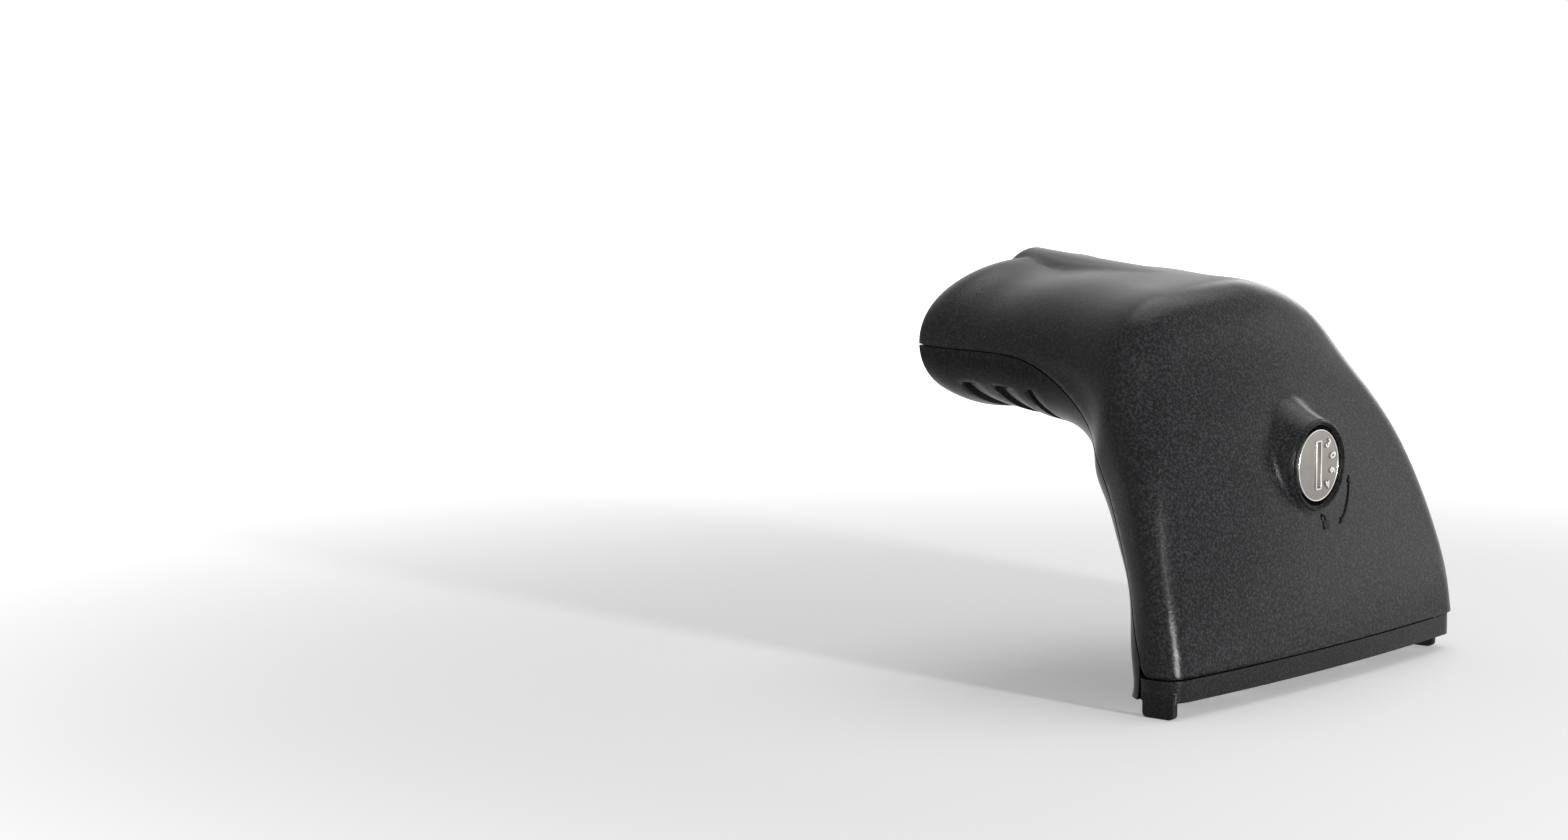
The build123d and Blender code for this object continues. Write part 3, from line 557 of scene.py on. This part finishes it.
def seamShadeStrip(side, name):
    # low dark strip on the under shell's top edge, painted shade that fills the seam so that no light shows
    # through it
    shell = surfaceOf("under_shell")
    inward = Vector((0, -side, 0))
    shape = bmesh.new()
    line = []
    for i in range(seamShade["steps"] + 1):
        x = seamShade["fromX"] + (seamShade["toX"] - seamShade["fromX"]) * i / seamShade["steps"]
        wall = shell.ray_cast(Vector((x, side * seamShade["reach"], seamShade["level"])), inward)[0]
        y = wall.y - side * seamShade["recess"]
        top = shell.ray_cast(Vector((x, y, seamShade["reach"])), Vector((0, 0, -1)))[0]
        line.append(shape.verts.new((x, y, top.z - seamShade["sunk"])))
    edges = [shape.edges.new(pair) for pair in zip(line, line[1:])]
    strip = bmesh.ops.extrude_edge_only(shape, edges=edges)
    moveNew(shape, strip, (0, 0, seamShade["sunk"] + seamShade["height"]))
    block = bmesh.ops.extrude_face_region(shape, geom=shape.faces[:])
    moveNew(shape, block, inward * seamShade["thickness"])
    newPiece(name, shape, shellPlastic, "leg")


seamShadeStrip(-1, "leadingSeamShade")
seamShadeStrip(1, "trailingSeamShade")
print("seam tongues made")


# Floor, light and camera

# The floor's lift grows from near to far round the foot, so the floor near it stays greyer: painted shade
# round the foot on top of its real shadow; the world gives soft light all round
studio = {
    "floorSize": 3.0, "floorZ": -0.0037, "floorRoughness": 0.9, "floorSpecular": 0.1, "cloudScale": 3.0,
    "floorLow": 0.90, "floorHigh": 0.94, "shadowNear": 0.16, "shadowFar": 0.60, "lift": 0.22,
    "worldLight": 0.26, "worldSeen": 1.0,
}


def seenRays(tree):
    # 1 for rays from the camera, and for those mirrored or let through on their way
    path = addNode(tree, "ShaderNodeLightPath")
    direct = addNode(tree, "ShaderNodeMath", operation="MAXIMUM")
    seen = addNode(tree, "ShaderNodeMath", operation="MAXIMUM")
    tree.links.new(path.outputs["Is Camera Ray"], direct.inputs[0])
    tree.links.new(path.outputs["Is Transmission Ray"], direct.inputs[1])
    tree.links.new(direct.outputs[0], seen.inputs[0])
    tree.links.new(path.outputs["Is Glossy Ray"], seen.inputs[1])
    return seen


def paleFloor():
    # seen rays get the floor lifted to white, more so away from the foot, so a greyer painted shade stays
    # round the foot besides its real shadow
    material = bpy.data.materials.new("paleFloor")
    material.use_nodes = True
    tree = material.node_tree
    link = tree.links.new
    shader = tree.nodes["Principled BSDF"]
    shader.inputs["Roughness"].default_value = studio["floorRoughness"]
    shader.inputs["Specular IOR Level"].default_value = studio["floorSpecular"]
    coords = addNode(tree, "ShaderNodeTexCoord")
    cloud = addNode(tree, "ShaderNodeTexNoise", {"Scale": studio["cloudScale"]})
    tone = addNode(tree, "ShaderNodeMapRange", {"To Min": studio["floorLow"], "To Max": studio["floorHigh"]})
    away = addNode(tree, "ShaderNodeVectorMath", operation="LENGTH")
    # the lift is smallest near the foot, which leaves painted shade round it
    reach = {"From Min": studio["shadowNear"], "From Max": studio["shadowFar"], "To Min": studio["lift"]}
    shadePoolLift = addNode(tree, "ShaderNodeMapRange", reach, interpolation_type="SMOOTHSTEP")
    seen = seenRays(tree)
    share = addNode(tree, "ShaderNodeMath", operation="MULTIPLY")
    white = addNode(tree, "ShaderNodeEmission")
    lifted = addNode(tree, "ShaderNodeAddShader")
    link(coords.outputs["Object"], cloud.inputs["Vector"])
    link(cloud.outputs["Fac"], tone.inputs["Value"])
    link(tone.outputs["Result"], shader.inputs["Base Color"])
    link(coords.outputs["Object"], away.inputs[0])
    link(away.outputs["Value"], shadePoolLift.inputs["Value"])
    link(shadePoolLift.outputs["Result"], share.inputs[0])
    link(seen.outputs[0], share.inputs[1])
    link(share.outputs[0], white.inputs["Strength"])
    link(shader.outputs["BSDF"], lifted.inputs[0])
    link(white.outputs["Emission"], lifted.inputs[1])
    link(lifted.outputs["Shader"], tree.nodes["Material Output"].inputs["Surface"])
    return material


def studioFloor():
    shape = bmesh.new()
    bmesh.ops.create_grid(shape, x_segments=1, y_segments=1, size=studio["floorSize"])
    bmesh.ops.translate(shape, vec=(0, 0, studio["floorZ"]), verts=shape.verts)
    mesh = bpy.data.meshes.new("studioFloor")
    shape.to_mesh(mesh)
    shape.free()
    mesh.materials.append(paleFloor())
    floor = bpy.data.objects.new("studioFloor", mesh)
    bpy.context.scene.collection.objects.link(floor)


def studioWorld():
    world = bpy.data.worlds.new("studioWorld")
    bpy.context.scene.world = world
    world.use_nodes = True
    tree = world.node_tree
    back = tree.nodes["Background"]
    back.inputs["Color"].default_value = (1, 1, 1, 1)
    seen = seenRays(tree)
    levels = {"To Min": studio["worldLight"], "To Max": studio["worldSeen"]}
    level = addNode(tree, "ShaderNodeMapRange", levels)
    tree.links.new(seen.outputs[0], level.inputs["Value"])
    tree.links.new(level.outputs["Result"], back.inputs["Strength"])


# The strip draws the bright line down the leading corner, the others stay soft
lamps = (
    {"name": "topSoftbox", "place": (-0.10, 0.40, 0.85), "aim": (-0.03, 0, 0.05),
     "width": 0.7, "height": 0.7, "power": 2.2},
    {"name": "edgeStrip", "place": (0.89, -0.14, 0.14), "aim": (0.0, -0.04, 0.03),
     "width": 0.07, "height": 0.34, "power": 9.0},
    {"name": "sideSoftbox", "place": (0.5, 0.8, 0.2), "aim": (0, 0, 0.05),
     "width": 0.4, "height": 0.4, "power": 0.3},
    {"name": "rearSoftbox", "place": (-0.35, 0.95, 0.28), "aim": (0, 0, 0.05),
     "width": 0.4, "height": 0.5, "power": 1.0},
)


def softLamp(name, place, aim, width, height, power):
    lamp = bpy.data.lights.new(name, "AREA")
    lamp.shape = "RECTANGLE"
    lamp.size = width
    lamp.size_y = height
    lamp.energy = power
    holder = bpy.data.objects.new(name, lamp)
    holder.location = place
    holder.rotation_mode = "QUATERNION"
    holder.rotation_quaternion = (Vector(aim) - Vector(place)).to_track_quat("-Z", "Y")
    bpy.context.scene.collection.objects.link(holder)


# Place and lens worked out from the photograph's two vanishing points
photoView = {
    "lens": 108.11, "sensor": 36.0, "far": 20.0,
    "place": (0.604116, -0.926536, 0.208958), "direction": (-0.62899926, 0.76546912, -0.1357091),
}


def photoCamera():
    view = bpy.data.cameras.new("photoCamera")
    view.lens = photoView["lens"]
    view.sensor_width = photoView["sensor"]
    view.clip_end = photoView["far"]
    camera = bpy.data.objects.new("photoCamera", view)
    camera.location = photoView["place"]
    camera.rotation_mode = "QUATERNION"
    camera.rotation_quaternion = Vector(photoView["direction"]).to_track_quat("-Z", "Y")
    bpy.context.scene.collection.objects.link(camera)
    bpy.context.scene.camera = camera


studioFloor()
studioWorld()
for lamp in lamps:
    softLamp(**lamp)
photoCamera()
bpy.context.scene.view_settings.view_transform = "Standard"
print("studio made")
